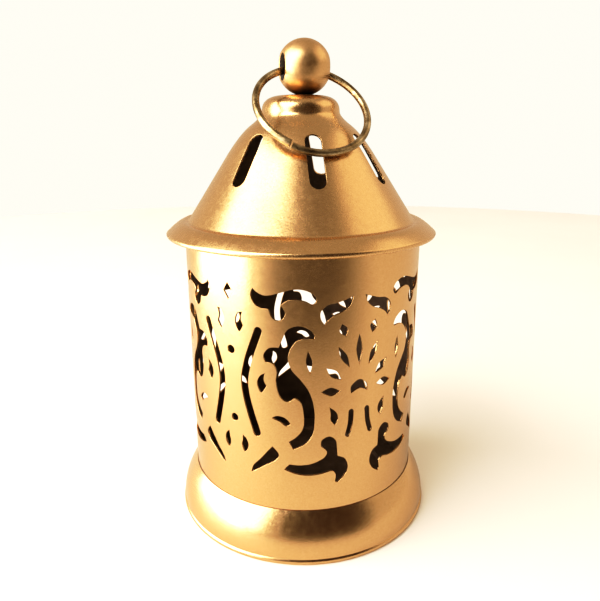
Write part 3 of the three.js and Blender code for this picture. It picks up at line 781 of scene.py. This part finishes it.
def stage_surface(nodes):
    """The roughness and the bump of the table and the card."""
    roughness = nodes.spread(nodes.noise(scale=30, detail=3), low=0.5, high=0.65)
    grain = nodes.noise(scale=220, detail=5, roughness=0.7)
    return roughness, nodes.bump(grain, strength=0.1, depth=0.0003)


def white_table(nodes):
    lighter = tuple(channel * TABLE_VARIATION for channel in TABLE_COLOUR)
    tone = nodes.ramp(nodes.noise(scale=12, detail=4), [(0.35, TABLE_COLOUR), (0.65, lighter)])
    return tone, *stage_surface(nodes)


def painted_shadow_card(nodes):
    """Painted shadow: pale grey, dimmer than the table, darkening smoothly towards a place in front of the
    lantern.
    """
    painted_shadow = nodes.near(CARD_PAINTED_SHADOW_PLACE, CARD_PAINTED_SHADOW_REACH)
    tone = nodes.ramp(painted_shadow, [(0.0, CARD_COLOUR), (0.55, CARD_PAINTED_SHADOW_COLOUR)])
    return tone, *stage_surface(nodes)


def build_table():
    turns = [2 * math.pi * i / TABLE_SIDES for i in range(TABLE_SIDES)]
    edge = [(TABLE_RADIUS * math.cos(t), TABLE_RADIUS * math.sin(t), 0) for t in turns]
    table = make_object("table", np.array(edge) / MM, [list(range(TABLE_SIDES))])
    table.data.materials.append(node_material("white_table", 0.0, white_table))


def build_card():
    """A card on the table with a painted shadow, which only the metal mirrors: nothing else sees it, and it
    casts no shadow.
    """
    half, height = CARD_HALF, CARD_HEIGHT
    corners = [(-half, -half, height), (half, -half, height), (half, half, height), (-half, half, height)]
    card = make_object("painted_shadow_card", np.array(corners) / MM, [[0, 1, 2, 3]])
    card.data.materials.append(node_material("painted_shadow_card", 0.0, painted_shadow_card))
    card.visible_camera = False
    card.visible_diffuse = False
    card.visible_transmission = False
    card.visible_shadow = False


def around(azimuth, distance, height):
    """A place round the lantern, with the azimuth in degrees."""
    turn = math.radians(azimuth)
    return (distance * math.sin(turn), -distance * math.cos(turn), height)


def softbox(name, at, size, strength, colour, mirrored=True):
    """A rectangular light that faces the lantern.

    strength is how bright its face is, where a lit white wall is about 1.
    """
    light = bpy.data.lights.new(name, "AREA")
    light.shape = "RECTANGLE"
    light.size, light.size_y = size
    light.energy = strength * math.pi * size[0] * size[1]
    light.color = colour
    lamp = bpy.data.objects.new(name, light)
    lamp.location = at
    lamp.rotation_euler = (Vector(LANTERN_MIDDLE) - Vector(at)).to_track_quat("-Z", "Y").to_euler()
    lamp.visible_camera = False
    lamp.visible_glossy = mirrored
    bpy.context.scene.collection.objects.link(lamp)


def build_lights():
    softbox("window", around(-66, 1.2, 0.72), size=(1.55, 1.45), strength=5.1, colour=WINDOW_COLOUR)
    softbox("high_window", around(-36, 0.9, 1.15), size=(0.6, 0.5), strength=5.0, colour=WINDOW_COLOUR)
    softbox("low_window", around(-80, 0.22, 0.05), size=(0.24, 0.10), strength=6.0, colour=WINDOW_COLOUR)
    softbox("right_wall", around(95, 1.2, 1.05), size=(1.5, 0.9), strength=0.7, colour=RIGHT_WALL_COLOUR)
    softbox("table_fill", (0, 0, 1.6), size=(3.0, 3.0), strength=0.6, colour=FILL_COLOUR, mirrored=False)


def build_world():
    """Warm light that is dimmer overhead and dark in front; the camera itself sees a plain cream wall."""
    world = bpy.data.worlds.new("studio")
    world.use_nodes = True
    tree = world.node_tree
    nodes = Nodes(tree, "Generated")
    height = nodes.add("ShaderNodeSeparateXYZ", {}, {"Vector": nodes.place}).outputs["Z"]
    room = nodes.ramp(height, [(0.1, ROOM_LOW_COLOUR), (0.9, ROOM_HIGH_COLOUR)])
    front = nodes.near(ROOM_DARK_DIRECTION, ROOM_DARK_REACH)
    shade = nodes.ramp(front, [(0.0, (1, 1, 1)), (0.28, ROOM_DARK_COLOUR)])
    lit = tree.nodes["Background"]
    tree.links.new(nodes.multiply(room, shade), lit.inputs["Color"])
    seen = nodes.add("ShaderNodeBackground", {"Color": (*SEEN_WALL_COLOUR, 1)}, {})
    camera_ray = nodes.add("ShaderNodeLightPath", {}, {}).outputs["Is Camera Ray"]
    choose = nodes.add("ShaderNodeMixShader", {}, {"Fac": camera_ray})
    tree.links.new(lit.outputs["Background"], choose.inputs[1])
    tree.links.new(seen.outputs["Background"], choose.inputs[2])
    tree.links.new(choose.outputs["Shader"], tree.nodes["World Output"].inputs["Surface"])
    bpy.context.scene.world = world


def set_tones():
    """A print's gentle contrast: a tone curve that deepens the darks and lifts the lights."""
    view = bpy.context.scene.view_settings
    view.view_transform = "Standard"
    view.use_curve_mapping = True
    *_, all_channels = view.curve_mapping.curves
    for before, after in TONE_CURVE:
        all_channels.points.new(before, after)
    view.curve_mapping.update()


build_table()
build_card()
build_lights()
build_world()
set_tones()


# The photograph's camera, with its angles in degrees and its lens in millimetres

CAMERA_PLACE = (0, -0.13106, 0.08806)
CAMERA_PITCH = 16.633
CAMERA_YAW = -0.2756
CAMERA_ROLL = -0.2042
FOCAL_LENGTH = 35.13
SENSOR_WIDTH = 36
NEAREST_SEEN = 0.005


def build_camera():
    lens_data = bpy.data.cameras.new("camera")
    lens_data.sensor_width = SENSOR_WIDTH
    lens_data.lens = FOCAL_LENGTH
    lens_data.clip_start = NEAREST_SEEN
    camera = bpy.data.objects.new("camera", lens_data)
    pitch, yaw, roll = (math.radians(a) for a in (CAMERA_PITCH, CAMERA_YAW, CAMERA_ROLL))
    forward = Vector((math.sin(yaw) * math.cos(pitch), math.cos(yaw) * math.cos(pitch), -math.sin(pitch)))
    level = Vector((math.cos(yaw), -math.sin(yaw), 0))
    upward = level.cross(forward)
    side = math.cos(roll) * level + math.sin(roll) * upward
    top = -math.sin(roll) * level + math.cos(roll) * upward
    camera.matrix_world = Matrix.Translation(CAMERA_PLACE) @ Matrix((
        (side.x, top.x, -forward.x), (side.y, top.y, -forward.y), (side.z, top.z, -forward.z),
    )).to_4x4()
    bpy.context.scene.collection.objects.link(camera)
    bpy.context.scene.camera = camera


build_camera()

bpy.context.view_layer.update()
